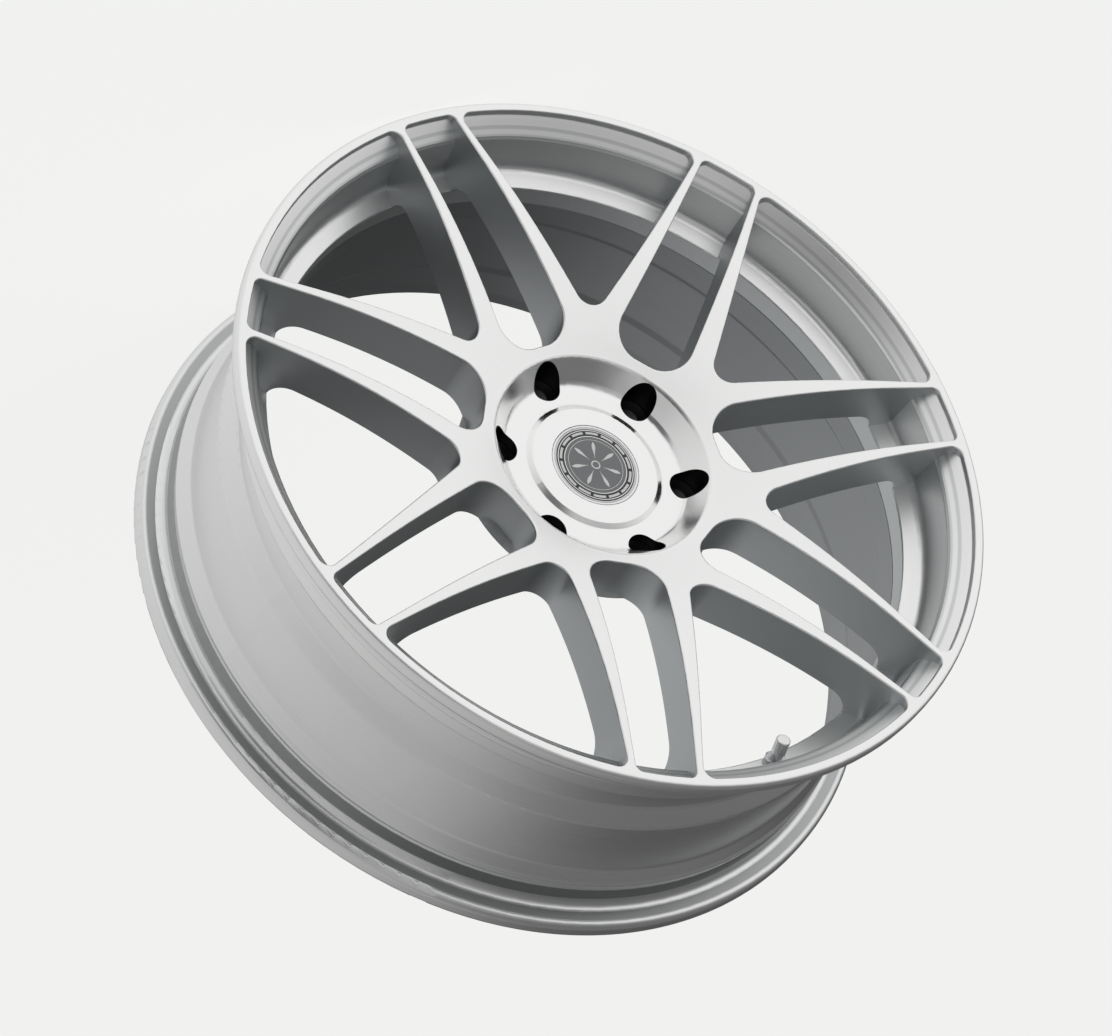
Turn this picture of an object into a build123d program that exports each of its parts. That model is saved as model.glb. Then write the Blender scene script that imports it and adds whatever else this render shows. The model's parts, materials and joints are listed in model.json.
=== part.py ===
"""Forged racing wheel rim: forged face, welded barrel, centre cap and clamp-in tyre valve.

Frame: millimetres, origin at the middle of the rim's width on its axis. The wheel turns
about Y. The face looks towards -Y, the hub face towards +Y, and +Z is up, where the valve is.
"""

import os
from math import cos, hypot, pi, radians, sin, sqrt, tan

from build123d import *

os.makedirs("parts", exist_ok=True)

# --- Rim, as a tyre sees it ---------------------------------------------------------------
rim_diameter = 512.8  # bead seats, measured at the flange
rim_width = 177.8  # between the two flanges
flange_height = 17.5
front_lip = 12.6  # front face to the tyre side of the front flange
rear_lip = 14.8  # tyre side of the rear flange to the rear edge
bead_corner = 6.5
bead_seat_width = 20.0
bead_seat_angle = 5.0
hump_height = 1.3
hump_width = 6.0
flange_tip_round = 5.5
lip_front_round = 3.4

# --- Barrel wall --------------------------------------------------------------------------
well_depth = 15.9  # below the bead seat diameter, on the radius
well_start = 60.0  # front face to the floor of the well
well_length = 27.0
well_slope = 9.0
rear_well_slope = 11.7
barrel_depth = 6.9  # the long rear wall's outside, below the bead seat
barrel_wall = 4.6
well_wall = 5.8
seam_back = 3.5  # from the start of the well's floor to the welded seam
weld_depth = 3.0
weld_half_width = 2.2
weld_crown = 0.5
weld_edge_gap = 0.13  # the bead stops this far short of the groove's rounded edges
seam_groove = 0.45  # small bevel on both parts where the seam shows inside
rear_flare = 3.4
outside_rounds = [0.3, 5.0, 5.0, 6.0, 2.0, 1.5, 1.5, 2.0]
inside_rounds = [4.5, 2.5, 8.0, 5.0, 6.0, 6.0, 6.0, 0.1]
front_rounds = [2.0, 1.5, 1.5, 2.0, 4.0, 1.0]
seat_toe = 0.4
well_lead = 1.2
inside_lead = 2.5

# --- Face and spokes ----------------------------------------------------------------------
pair_count = 7
lip_land = 7.4  # flat front ring between the windows and the rim's edge
flat_land = 43.9  # the face is flat this far in from the rim's edge
spoke_depth = 35.6
spoke_flare = 14.0  # where the back of a spoke runs into the barrel
spoke_root_width = 16.6
spoke_middle_width = 9.3
spoke_tip_width = 4.9
pair_root_gap = 27.3  # half of the small window, at its root
pair_tip_gap = 21.5  # half of the small window, at the lip
small_window_root = 21.4  # from the bolt circle out to the small window
small_window_flat = 6.7
small_window_shoulder = 44.3
small_tip_corner = 5.6
big_root_corner = 12.6
big_tip_corner = 7.5
window_edge_round = 1.4

# --- Steps inside the rim, behind the windows -----------------------------------------------
lip_step = 4.6
shelf_start = 6.4
shelf_end = 13.6
shelf_rise = 2.5
step_wall_start = 15.6
step_wall_end = 45.2
step_wall_draft = 2.2
step_wall_corner = 7.0
inner_shelf_fall = 2.6
inner_shelf_round = 1.4
step_wall_cover = 2.6  # wall between the bead seat's end and the step wall, on the radius
step_wall_lead = 0.6
shelf_width = 9.9
seam_land = 3.0  # solid ring kept in front of the seam
step_rounds = [0.8, 1.2, 1.2, 1.2, 1.2]

# --- Hub ----------------------------------------------------------------------------------
wheel_offset = 35.0  # hub face in front of the rim's middle
bolt_count = 6
bolt_circle = 135.0
centre_bore = 87.1
hub_thickness = 21.9
hub_pad_margin = 17.5
dish_wall = 16.5
dish_floor_in = 1.8
dish_rim_out = 11.7
dish_cove = 9.0
dish_lip_round = 6.0
boss_height = 3.2
boss_margin = 2.0
boss_slope = 5.2
boss_round = 3.5
hub_web = 13.7
hub_rounds = [0.3, 0.3, 0.3]
pad_margin = 3.0
bore_chamfer = 1.5

# --- Lug seats ----------------------------------------------------------------------------
lug_hole = 22.0
seat_sleeve = 18.0
stud_hole = 14.5
seat_depth = 14.0
seat_shoulder = 7.0
cone_half_angle = 30.0
seat_rim = 0.6

# --- Centre cap ---------------------------------------------------------------------------
cap_diameter = 64.0
cap_gap = 0.2
cap_recess = 3.0
cap_plug = 59.0
cap_plug_gap = 0.25
cap_plug_wall = 2.4
cap_plug_length = 10.5
cap_leg_count = 6
cap_leg_slot = 5.0
cap_leg_root = 3.6  # solid sleeve in front of the slots
cap_face = 1.6
emblem_recess = 1.6
emblem_diameter = 57.4
emblem_thickness = 1.1
pad_thickness = 0.4
bezel_width = 1.5
bezel_height = 1.5
ring_wire = 1.8
spring_ring_in = 2.6
o_ring_section = 1.6
cap_ring_back = 3.2
cap_rounds = [0.15, 0.25, 0.6, 0.3, 0.2, 0.8, 0.3, 0.6]
bezel_round = 0.3
emblem_pad_margin = 1.0

# --- Valve --------------------------------------------------------------------------------
valve_hole = 11.5
valve_inset = 8.5  # valve centre, in from the outer edge of the inner shelf
valve_wall = 5.5  # wall left under the valve
valve_spot_face = 17.5
valve_spot_depth = 0.8
valve_back_face = 20.0
valve_shank = 8.2
valve_thread = 7.7
valve_thread_start = 10.0
thread_lead = 0.6
stem_rounds = [0.8, 0.5, 0.2, 0.2, 0.2, 0.4, 0.2, 0.1]
valve_head = 15.0
valve_head_height = 2.6
valve_length = 21.0
valve_bore = 4.6
valve_passage = 3.0
grommet_flange = 16.6
grommet_height = 2.6
grommet_neck_gap = 1.0
washer_diameter = 15.6
washer_height = 1.2
washer_round = 0.25
nut_across_flats = 13.0
nut_height = 5.5
nut_bevel = 0.6
core_sink = 1.0
core_body_length = 7.0
core_room = 6.0
core_pin = 1.5
core_pin_gap = 0.25
pin_proud = 0.3
pin_flange = 3.9
pin_flange_height = 0.5
cup_height = 1.0
gasket_wall = 0.4
gasket_height = 1.5
core_spring_coils = 5
core_spring_wire = 0.35
valve_cap_diameter = 9.8
valve_cap_length = 12.0
valve_cap_ribs = 18
valve_cap_top = 1.8
valve_cap_crown = 1.2
cap_seal_height = 1.0
rib_groove = 0.5
rib_offset = 0.2
rib_stop = 0.6
seal_gap = 0.03
running_gap = 0.06

# --- Worked-out places ----------------------------------------------------------------------
bead_radius = rim_diameter / 2
outer_radius = bead_radius + flange_height
overall_width = front_lip + rim_width + rear_lip
front_face = -overall_width / 2
rear_flange = front_lip + rim_width
hub_face = front_lip + rim_width / 2 - wheel_offset
dish_floor = hub_face - hub_thickness
boss_face = dish_floor - boss_height
web_back = boss_face + hub_web
dish_rim = dish_floor - dish_wall
seat_drop = bead_seat_width * tan(radians(bead_seat_angle))
seat_end_radius = bead_radius - seat_drop
hump_radius = seat_end_radius + hump_height
well_radius = bead_radius - well_depth
well_inside = well_radius - well_wall
barrel_radius = bead_radius - barrel_depth
barrel_inside = barrel_radius - barrel_wall
seat_inside = seat_end_radius - barrel_wall
seam = well_start + seam_back
window_radius = outer_radius - lip_land
flat_radius = outer_radius - flat_land
hub_pad_radius = bolt_circle / 2 + hub_pad_margin
dish_floor_radius = bolt_circle / 2 - dish_floor_in
dish_rim_radius = bolt_circle / 2 + dish_rim_out
boss_radius = centre_bore / 2 + boss_margin
boss_foot = boss_radius + boss_slope
dish_floor_width = dish_floor_radius - boss_foot
foot_round = min(boss_round, dish_floor_width / 2)
cove_round = min(dish_cove, dish_floor_width)
cap_plug_hole = cap_plug / 2
pitch_angle = 360 / pair_count

# The face is one arc, tangent to the flat front ring and passing through the dish's rim.
face_run = flat_radius - dish_rim_radius
face_arc = (face_run**2 + dish_rim**2) / (2 * dish_rim)
back_arc = face_arc - spoke_depth


def at(radius, depth):
    """A point of a section: its radius, and its depth behind the front face."""
    return (radius, front_face + depth)


def arc_depth(arc_radius, radius):
    """Depth at a radius on an arc that is centred behind the flat ring's inner edge."""
    return face_arc - sqrt(arc_radius**2 - (flat_radius - radius) ** 2)


def corner(sketch, radius, depth):
    """The vertex of a section that lies nearest to a radius and a depth."""
    return sketch.vertices().sort_by_distance((*at(radius, depth), 0))[0]


def is_ring(edge):
    """Whether an edge is a circle about the wheel's axis."""
    start, middle, end = (edge.position_at(t) for t in (0, 0.37, 0.81))
    radii = [hypot(p.X, p.Z) for p in (start, middle, end)]
    return max(radii) - min(radii) < 0.01 and edge.is_closed


def save(part, node):
    """Label a finished part and write it as its node's file."""
    part.label = node
    export_step(part, f"parts/{node}.step")


# --- Window outlines, each in the frame of its own centre line along +X ---------------------
root_x = bolt_circle / 2 + small_window_shoulder
tip_x = sqrt(window_radius**2 - pair_tip_gap**2)
middle_x = (root_x + tip_x) / 2
middle_gap = (pair_root_gap + pair_tip_gap) / 2
pair_edge = [
    (root_x, pair_root_gap + spoke_root_width),
    (middle_x, middle_gap + spoke_middle_width),
    (tip_x, pair_tip_gap + spoke_tip_width),
]


def turned(point, angle):
    """A point turned about the wheel's axis, in degrees."""
    c, s = cos(radians(angle)), sin(radians(angle))
    return (point[0] * c - point[1] * s, point[0] * s + point[1] * c)


def circle_through(a, b, c):
    """Centre and radius of the circle through three points."""
    ax, ay = b[0] - a[0], b[1] - a[1]
    bx, by = c[0] - a[0], c[1] - a[1]
    twice_area = 2 * (ax * by - ay * bx)
    x = (by * (ax**2 + ay**2) - ay * (bx**2 + by**2)) / twice_area
    y = (ax * (bx**2 + by**2) - bx * (ax**2 + ay**2)) / twice_area
    return (a[0] + x, a[1] + y), hypot(x, y)


# A big window's upper edge is the lower edge of the next pair, seen from the window's middle.
window_edge = [turned((x, -y), pitch_angle / 2) for x, y in pair_edge]
edge_centre, edge_radius = circle_through(*window_edge)
edge_side = 1 if edge_centre[1] < window_edge[1][1] else -1


def edge_height(x):
    """Height of the big window's upper edge above the window's centre line."""
    return edge_centre[1] + edge_side * sqrt(edge_radius**2 - (x - edge_centre[0]) ** 2)


apex_reach = sqrt(edge_radius**2 - edge_centre[1] ** 2)
apex_x = edge_centre[0] + (apex_reach if edge_centre[0] < 0 else -apex_reach)
beyond_x = window_radius * 1.02
middle_of_edge = (apex_x + beyond_x) / 2

with BuildSketch() as big_window:
    with BuildLine():
        upper = ThreePointArc(
            (apex_x, 0),
            (middle_of_edge, edge_height(middle_of_edge)),
            (beyond_x, edge_height(beyond_x)),
        )
        mirror(upper, about=Plane.XZ)
        Line((beyond_x, edge_height(beyond_x)), (beyond_x, -edge_height(beyond_x)))
    make_face()
    Circle(window_radius, mode=Mode.INTERSECT)
    by_radius = big_window.vertices().sort_by(lambda v: hypot(v.X, v.Y))
    fillet(by_radius[0], big_root_corner)
    by_radius = big_window.vertices().sort_by(lambda v: hypot(v.X, v.Y))
    fillet(by_radius[-2:], big_tip_corner)

small_root_x = bolt_circle / 2 + small_window_root
with BuildSketch() as small_window:
    gap_slope = (pair_tip_gap - pair_root_gap) / (tip_x - root_x)
    root_gap = pair_root_gap + gap_slope * (small_root_x - root_x)
    end_gap = pair_root_gap + gap_slope * (beyond_x - root_x)
    with BuildLine():
        Polyline(
            (small_root_x, -root_gap),
            (beyond_x, -end_gap),
            (beyond_x, end_gap),
            (small_root_x, root_gap),
            close=True,
        )
    make_face()
    Circle(window_radius, mode=Mode.INTERSECT)
    by_radius = small_window.vertices().sort_by(lambda v: hypot(v.X, v.Y))
    fillet(by_radius[:2], root_gap - small_window_flat)
    by_radius = small_window.vertices().sort_by(lambda v: hypot(v.X, v.Y))
    fillet(by_radius[-2:], small_tip_corner)

step_wall_radius = seat_end_radius - step_wall_cover
shelf_outer = window_radius - shelf_rise
shelf_inner = shelf_outer - shelf_width
cut_depth = seam - seam_land
step_wall_foot = step_wall_end - inner_shelf_round
in_front = -20.0
flare_radius = well_inside - spoke_flare
flare_top = arc_depth(back_arc, flare_radius)

# The valve stands on the inner shelf at the top of the wheel, square to the shelf.
shelf_top = at(step_wall_radius - step_wall_draft, step_wall_foot)
shelf_foot = at(well_inside, step_wall_end + inner_shelf_fall)
shelf_length = hypot(shelf_foot[0] - shelf_top[0], shelf_foot[1] - shelf_top[1])
shelf_down = (
    (shelf_foot[0] - shelf_top[0]) / shelf_length,
    (shelf_foot[1] - shelf_top[1]) / shelf_length,
)
valve_up = (-shelf_down[1], shelf_down[0])  # out of the shelf: towards the axis and the face
valve_foot = (
    shelf_top[0] + shelf_down[0] * valve_inset,
    shelf_top[1] + shelf_down[1] * valve_inset,
)
valve_base = (
    valve_foot[0] - valve_up[0] * valve_spot_depth,
    valve_foot[1] - valve_up[1] * valve_spot_depth,
)
valve_plane = Plane(
    origin=(0, valve_base[1], valve_base[0]),
    x_dir=(1, 0, 0),
    z_dir=(0, valve_up[1], valve_up[0]),
)

with BuildPart() as window_cutter:
    with BuildSketch(Plane.XZ):
        for k in range(pair_count):
            add(big_window.sketch, rotation=90 + k * pitch_angle)
            add(small_window.sketch, rotation=90 + (k + 0.5) * pitch_angle)
    extrude(amount=overall_width, both=True)
    with BuildSketch(Plane.XY):
        with BuildLine():
            steps = FilletPolyline(
                at(window_radius, in_front),
                at(window_radius, lip_step),
                at(shelf_outer, shelf_start),
                at(shelf_inner, shelf_end),
                at(step_wall_radius + step_wall_lead, step_wall_start),
                at(step_wall_radius - step_wall_draft, step_wall_foot),
                at(well_inside, step_wall_end + inner_shelf_fall),
                at(well_inside, cut_depth),
                radius=[*step_rounds[:4], step_wall_corner, step_rounds[4]],
            )
            Polyline(
                at(well_inside, cut_depth),
                at(0, cut_depth),
                at(0, in_front),
                at(window_radius, in_front),
            )
        make_face()
    revolve(axis=Axis.Y, mode=Mode.INTERSECT)

with BuildPart() as forged_centre:
    with BuildSketch(Plane.XY) as section:
        with BuildLine():
            FilletPolyline(
                at(cap_plug_hole, web_back),
                at(cap_plug_hole, boss_face + cap_recess),
                at(cap_diameter / 2 + cap_gap, boss_face + cap_recess),
                at(cap_diameter / 2 + cap_gap, boss_face),
                at(boss_radius, boss_face),
                at(boss_foot, dish_floor),
                at(dish_floor_radius, dish_floor),
                at(dish_rim_radius, dish_rim),
                radius=[*hub_rounds, boss_round, foot_round, cove_round],
            )
            face_middle = (dish_rim_radius + flat_radius) / 2
            ThreePointArc(
                at(dish_rim_radius, dish_rim),
                at(face_middle, arc_depth(face_arc, face_middle)),
                at(flat_radius, 0),
            )
            FilletPolyline(
                at(flat_radius, 0),
                at(outer_radius, 0),
                at(outer_radius, front_lip),
                at(bead_radius, front_lip),
                at(seat_end_radius, front_lip + bead_seat_width),
                at(hump_radius, front_lip + bead_seat_width + hump_width / 3),
                at(hump_radius, front_lip + bead_seat_width + hump_width * 2 / 3),
                at(seat_end_radius - seat_toe, front_lip + bead_seat_width + hump_width),
                at(seat_end_radius - well_lead, well_start - well_slope),
                at(well_radius, well_start),
                at(well_radius, seam - weld_half_width),
                radius=[lip_front_round, flange_tip_round, bead_corner, *front_rounds],
            )
            Polyline(
                at(well_radius, seam - weld_half_width),
                at(well_radius - weld_depth, seam),
                at(well_inside + seam_groove, seam),
                at(well_inside, seam - seam_groove),
                at(well_inside, flare_top + spoke_flare),
            )
            ThreePointArc(
                at(well_inside, flare_top + spoke_flare),
                at(flare_radius + spoke_flare * sin(pi / 4), flare_top + spoke_flare * (1 - cos(pi / 4))),
                at(flare_radius, flare_top),
            )
            back_middle = (hub_pad_radius + pad_margin + flare_radius) / 2
            ThreePointArc(
                at(flare_radius, flare_top),
                at(back_middle, arc_depth(back_arc, back_middle)),
                at(hub_pad_radius + pad_margin, arc_depth(back_arc, hub_pad_radius + pad_margin)),
            )
            Polyline(
                at(hub_pad_radius + pad_margin, arc_depth(back_arc, hub_pad_radius + pad_margin)),
                at(hub_pad_radius, hub_face),
                at(centre_bore / 2 + bore_chamfer, hub_face),
                at(centre_bore / 2, hub_face - bore_chamfer),
                at(centre_bore / 2, web_back),
                at(cap_plug_hole, web_back),
            )
        make_face()
        fillet(corner(section, dish_rim_radius, dish_rim), dish_lip_round)
    revolve(axis=Axis.Y)
    add(window_cutter.part, mode=Mode.SUBTRACT)

    # Round the front edge of every window: the edges whose middles lie on the face.
    def on_face(edge):
        middle = edge.position_at(0.5)
        radius = hypot(middle.X, middle.Z)
        on_arc = dish_rim_radius + dish_lip_round < radius < window_radius + 0.1
        depth = arc_depth(face_arc, radius) if radius < flat_radius else 0
        return on_arc and abs(middle.Y - front_face - depth) < 0.05

    window_edges = forged_centre.edges().filter_by(on_face)
    fillet(window_edges.filter_by(lambda e: not is_ring(e)), window_edge_round)

    # Lug holes: a well for the nut, then the shoulder that carries the steel seat.
    with BuildSketch(Plane.XZ.offset(-front_face)):
        with PolarLocations(bolt_circle / 2, bolt_count, start_angle=90):
            Circle(lug_hole / 2)
    extrude(amount=-(hub_face - seat_shoulder), mode=Mode.SUBTRACT)
    with BuildSketch(Plane.XZ.offset(-front_face - hub_face - 1)):
        with PolarLocations(bolt_circle / 2, bolt_count, start_angle=90):
            Circle(seat_sleeve / 2)
    extrude(amount=seat_shoulder + 2, mode=Mode.SUBTRACT)

    # Valve hole with a spot face on the inner shelf and another on the tyre side.
    with BuildSketch(valve_plane.offset(-valve_wall)):
        Circle(valve_back_face / 2)
    extrude(amount=-rim_width / 4, mode=Mode.SUBTRACT)
    with BuildSketch(valve_plane.offset(-valve_wall - 1)):
        Circle(valve_hole / 2)
    extrude(amount=valve_wall + 2, mode=Mode.SUBTRACT)
    with BuildSketch(valve_plane):
        Circle(valve_spot_face / 2)
    extrude(amount=valve_spot_face / 4, mode=Mode.SUBTRACT)
save(forged_centre.part, "forged_centre")

# --- Barrel -------------------------------------------------------------------------------
with BuildPart() as rim_barrel:
    with BuildSketch(Plane.XY) as section:
        with BuildLine():
            rear_seat = rear_flange - bead_seat_width
            rear_hump = rear_seat - hump_width
            outside = FilletPolyline(
                at(well_radius - weld_depth, seam),
                at(well_radius, seam + weld_half_width),
                at(well_radius, well_start + well_length),
                at(barrel_radius, well_start + well_length + rear_well_slope),
                at(barrel_radius, rear_hump - well_slope),
                at(seat_end_radius - seat_toe, rear_hump),
                at(hump_radius, rear_hump + hump_width / 3),
                at(hump_radius, rear_hump + hump_width * 2 / 3),
                at(seat_end_radius, rear_seat),
                at(bead_radius, rear_flange),
                at(outer_radius, rear_flange),
                at(outer_radius, overall_width),
                at(seat_inside + rear_flare, overall_width),
                at(seat_inside, rear_flange),
                at(seat_inside, rear_hump + hump_width / 2),
                at(barrel_inside, rear_hump - well_slope),
                at(barrel_inside, well_start + well_length + rear_well_slope - inside_lead),
                at(well_inside, well_start + well_length - inside_lead),
                at(well_inside, seam + seam_groove),
                at(well_inside + seam_groove, seam),
                radius=[*outside_rounds, bead_corner, flange_tip_round, *inside_rounds],
            )
            Line(outside @ 1, outside @ 0)
        make_face()
    revolve(axis=Axis.Y)
save(rim_barrel.part, "rim_barrel")

with BuildPart() as barrel_weld:
    with BuildSketch(Plane.XY):
        with BuildLine():
            Polyline(
                at(well_radius, seam + weld_half_width - weld_edge_gap),
                at(well_radius - weld_depth, seam),
                at(well_radius, seam - weld_half_width + weld_edge_gap),
            )
            ThreePointArc(
                at(well_radius, seam - weld_half_width + weld_edge_gap),
                at(well_radius + weld_crown, seam),
                at(well_radius, seam + weld_half_width - weld_edge_gap),
            )
        make_face()
    revolve(axis=Axis.Y)
save(barrel_weld.part, "barrel_weld")

# --- Steel lug seats ------------------------------------------------------------------------
cone_depth = (lug_hole / 2 - seat_rim - stud_hole / 2) / tan(radians(cone_half_angle))
with BuildPart() as seat:
    with BuildSketch(Plane.XY):
        with BuildLine():
            Polyline(
                at(stud_hole / 2, hub_face),
                at(seat_sleeve / 2, hub_face),
                at(seat_sleeve / 2, hub_face - seat_shoulder),
                at(lug_hole / 2, hub_face - seat_shoulder),
                at(lug_hole / 2, hub_face - seat_depth),
                at(lug_hole / 2 - seat_rim, hub_face - seat_depth),
                at(stud_hole / 2, hub_face - seat_depth + cone_depth),
                close=True,
            )
        make_face()
    revolve(axis=Axis.Y)

with BuildPart() as lug_seats:
    for k in range(bolt_count):
        angle = radians(90 + k * 360 / bolt_count)
        with Locations((bolt_circle / 2 * cos(angle), 0, bolt_circle / 2 * sin(angle))):
            add(seat.part)
save(lug_seats.part, "lug_seats")

# --- Centre cap -----------------------------------------------------------------------------
def depth_plane(depth):
    """A sketch plane across the wheel's axis whose normal looks out of the face."""
    return Plane.XZ.offset(-front_face - depth)


cap_back = boss_face + cap_recess
plug_radius = cap_plug_hole - cap_plug_gap
seal_ring_radius = cap_plug_hole - running_gap - o_ring_section / 2
with BuildPart() as cap_shell:
    with BuildSketch(Plane.XY) as section:
        with BuildLine():
            FilletPolyline(
                at(0, boss_face + emblem_recess),
                at(emblem_diameter / 2 + bezel_width, boss_face + emblem_recess),
                at(emblem_diameter / 2 + bezel_width, boss_face),
                at(cap_diameter / 2, boss_face),
                at(cap_diameter / 2, cap_back),
                at(plug_radius, cap_back),
                at(plug_radius, cap_back + cap_plug_length),
                at(plug_radius - cap_plug_wall, cap_back + cap_plug_length),
                at(plug_radius - cap_plug_wall, cap_back + cap_face),
                at(0, cap_back + cap_face),
                radius=cap_rounds,
            )
            Line(at(0, cap_back + cap_face), at(0, boss_face + emblem_recess))
        make_face()
        # Outside groove for the seal ring, inside groove for the spring ring.
        with Locations(at(seal_ring_radius, cap_back + cap_ring_back)):
            Circle(o_ring_section / 2, mode=Mode.SUBTRACT)
        with Locations(at(plug_radius - cap_plug_wall, cap_back + cap_plug_length - spring_ring_in)):
            Circle(ring_wire / 2, mode=Mode.SUBTRACT)
    revolve(axis=Axis.Y)
    with BuildSketch(depth_plane(cap_back + cap_plug_length + 1)):
        with PolarLocations(plug_radius - cap_plug_wall / 2, cap_leg_count):
            Rectangle(cap_plug_wall * 2, cap_leg_slot)
    extrude(amount=cap_plug_length - cap_leg_root + 1, mode=Mode.SUBTRACT)
save(cap_shell.part, "cap_shell")

with BuildPart() as cap_seal_ring:
    with BuildSketch(Plane.XY):
        with Locations(at(seal_ring_radius, cap_back + cap_ring_back)):
            Circle(o_ring_section / 2)
    revolve(axis=Axis.Y)
save(cap_seal_ring.part, "cap_seal_ring")

with BuildPart() as cap_spring_ring:
    with BuildSketch(Plane.XY):
        with Locations(at(plug_radius - cap_plug_wall, cap_back + cap_plug_length - spring_ring_in)):
            Circle(ring_wire / 2)
    revolve(axis=Axis.Y, revolution_arc=340)
save(cap_spring_ring.part, "cap_spring_ring")

with BuildPart() as cap_emblem_pad:
    with BuildSketch(depth_plane(boss_face + emblem_recess)):
        Circle(emblem_diameter / 2 - emblem_pad_margin)
    extrude(amount=pad_thickness)
save(cap_emblem_pad.part, "cap_emblem_pad")

with BuildPart() as cap_emblem:
    with BuildSketch(depth_plane(boss_face + emblem_recess - pad_thickness)):
        Circle(emblem_diameter / 2)
    extrude(amount=emblem_thickness)
save(cap_emblem.part, "cap_emblem")

with BuildPart() as cap_bezel:
    with BuildSketch(depth_plane(boss_face + emblem_recess)):
        Circle(emblem_diameter / 2 + bezel_width)
        Circle(emblem_diameter / 2, mode=Mode.SUBTRACT)
    extrude(amount=bezel_height)
    fillet(cap_bezel.edges().filter_by(GeomType.CIRCLE).group_by(Axis.Y)[-1], bezel_round)
    fillet(cap_bezel.edges().filter_by(GeomType.CIRCLE).group_by(Axis.Y)[0], bezel_round)
save(cap_bezel.part, "cap_bezel")

# --- Tyre valve -------------------------------------------------------------------------------
valve_section = Plane(origin=valve_plane.origin, x_dir=(1, 0, 0), z_dir=valve_plane.y_dir * -1)
valve_axis = Axis(valve_plane.origin, valve_plane.z_dir)
grommet_bottom = -valve_wall - grommet_height
stem_bottom = grommet_bottom - valve_head_height
core_top = valve_length - core_sink
core_bottom = core_top - core_body_length
spring_floor = core_bottom - core_room
nut_bottom = washer_height
passage = valve_passage / 2
pin_radius = core_pin / 2


def ring(inner, outer, bottom, top):
    """Section of a plain ring round the valve, from two radii and two heights."""
    Polygon((inner, bottom), (outer, bottom), (outer, top), (inner, top), align=None)


with BuildPart() as valve_stem:
    with BuildSketch(valve_section):
        with BuildLine():
            FilletPolyline(
                (passage, stem_bottom),
                (valve_head / 2, stem_bottom),
                (valve_head / 2, grommet_bottom),
                (valve_shank / 2, grommet_bottom),
                (valve_shank / 2, valve_thread_start),
                (valve_thread / 2, valve_thread_start + thread_lead),
                (valve_thread / 2, valve_length),
                (valve_bore / 2, valve_length),
                (valve_bore / 2, spring_floor),
                (passage, spring_floor),
                radius=stem_rounds,
            )
            Line((passage, spring_floor), (passage, stem_bottom))
        make_face()
    revolve(axis=valve_axis)
save(valve_stem.part, "valve_stem")

with BuildPart() as valve_grommet:
    with BuildSketch(valve_section) as section:
        ring(valve_shank / 2, grommet_flange / 2, grommet_bottom, -valve_wall)
        ring(valve_shank / 2, valve_hole / 2, -valve_wall, -grommet_neck_gap)
    revolve(axis=valve_axis)
save(valve_grommet.part, "valve_grommet")

with BuildPart() as valve_washer:
    with BuildSketch(valve_section):
        ring(valve_shank / 2, washer_diameter / 2, 0, washer_height)
    revolve(axis=valve_axis)
    fillet(valve_washer.edges().filter_by(GeomType.CIRCLE).sort_by(SortBy.RADIUS)[-1], washer_round)
save(valve_washer.part, "valve_washer")

with BuildPart() as valve_nut:
    with BuildSketch(valve_plane.offset(nut_bottom)):
        RegularPolygon(nut_across_flats / 2, 6, major_radius=False)
    extrude(amount=nut_height)
    with BuildSketch(valve_section):
        with BuildLine():
            nut_corner = nut_across_flats / 2 / cos(pi / 6)
            nut_top = nut_bottom + nut_height
            Polyline(
                (0, nut_bottom),
                (nut_across_flats / 2, nut_bottom),
                (nut_corner, nut_bottom + nut_bevel),
                (nut_corner, nut_top - nut_bevel),
                (nut_across_flats / 2, nut_top),
                (0, nut_top),
                close=True,
            )
        make_face()
    revolve(axis=valve_axis, mode=Mode.INTERSECT)
    with BuildSketch(valve_plane.offset(nut_bottom)):
        Circle(valve_shank / 2)
    extrude(amount=nut_height, mode=Mode.SUBTRACT)
save(valve_nut.part, "valve_nut")

# --- Valve core ---------------------------------------------------------------------------------
gasket_radius = valve_bore / 2 - gasket_wall
with BuildPart() as valve_core_body:
    with BuildSketch(valve_section):
        with BuildLine():
            Polyline(
                (pin_radius + core_pin_gap, core_bottom),
                (gasket_radius, core_bottom),
                (gasket_radius, core_bottom + gasket_height),
                (valve_bore / 2, core_bottom + gasket_height),
                (valve_bore / 2, core_top),
                (pin_radius + core_pin_gap, core_top),
                close=True,
            )
        make_face()
    revolve(axis=valve_axis)
save(valve_core_body.part, "valve_core_body")

with BuildPart() as valve_core_gasket:
    with BuildSketch(valve_section):
        ring(gasket_radius, valve_bore / 2, core_bottom, core_bottom + gasket_height)
    revolve(axis=valve_axis)
save(valve_core_gasket.part, "valve_core_gasket")

cup_top = core_bottom - seal_gap
cup_bottom = cup_top - cup_height
flange_bottom = cup_bottom - pin_flange_height
with BuildPart() as valve_core_cup:
    with BuildSketch(valve_section):
        ring(pin_radius, pin_flange / 2, cup_bottom, cup_top)
    revolve(axis=valve_axis)
save(valve_core_cup.part, "valve_core_cup")

with BuildPart() as valve_core_pin:
    with BuildSketch(valve_section):
        with BuildLine():
            FilletPolyline(
                (0, flange_bottom),
                (pin_flange / 2, flange_bottom),
                (pin_flange / 2, cup_bottom),
                (pin_radius, cup_bottom),
                (pin_radius, core_top + pin_proud),
                (0, core_top + pin_proud),
                radius=[0.1, 0.1, 0.05, 0.3],
            )
            Line((0, core_top + pin_proud), (0, flange_bottom))
        make_face()
    revolve(axis=valve_axis)
save(valve_core_pin.part, "valve_core_pin")

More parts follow.
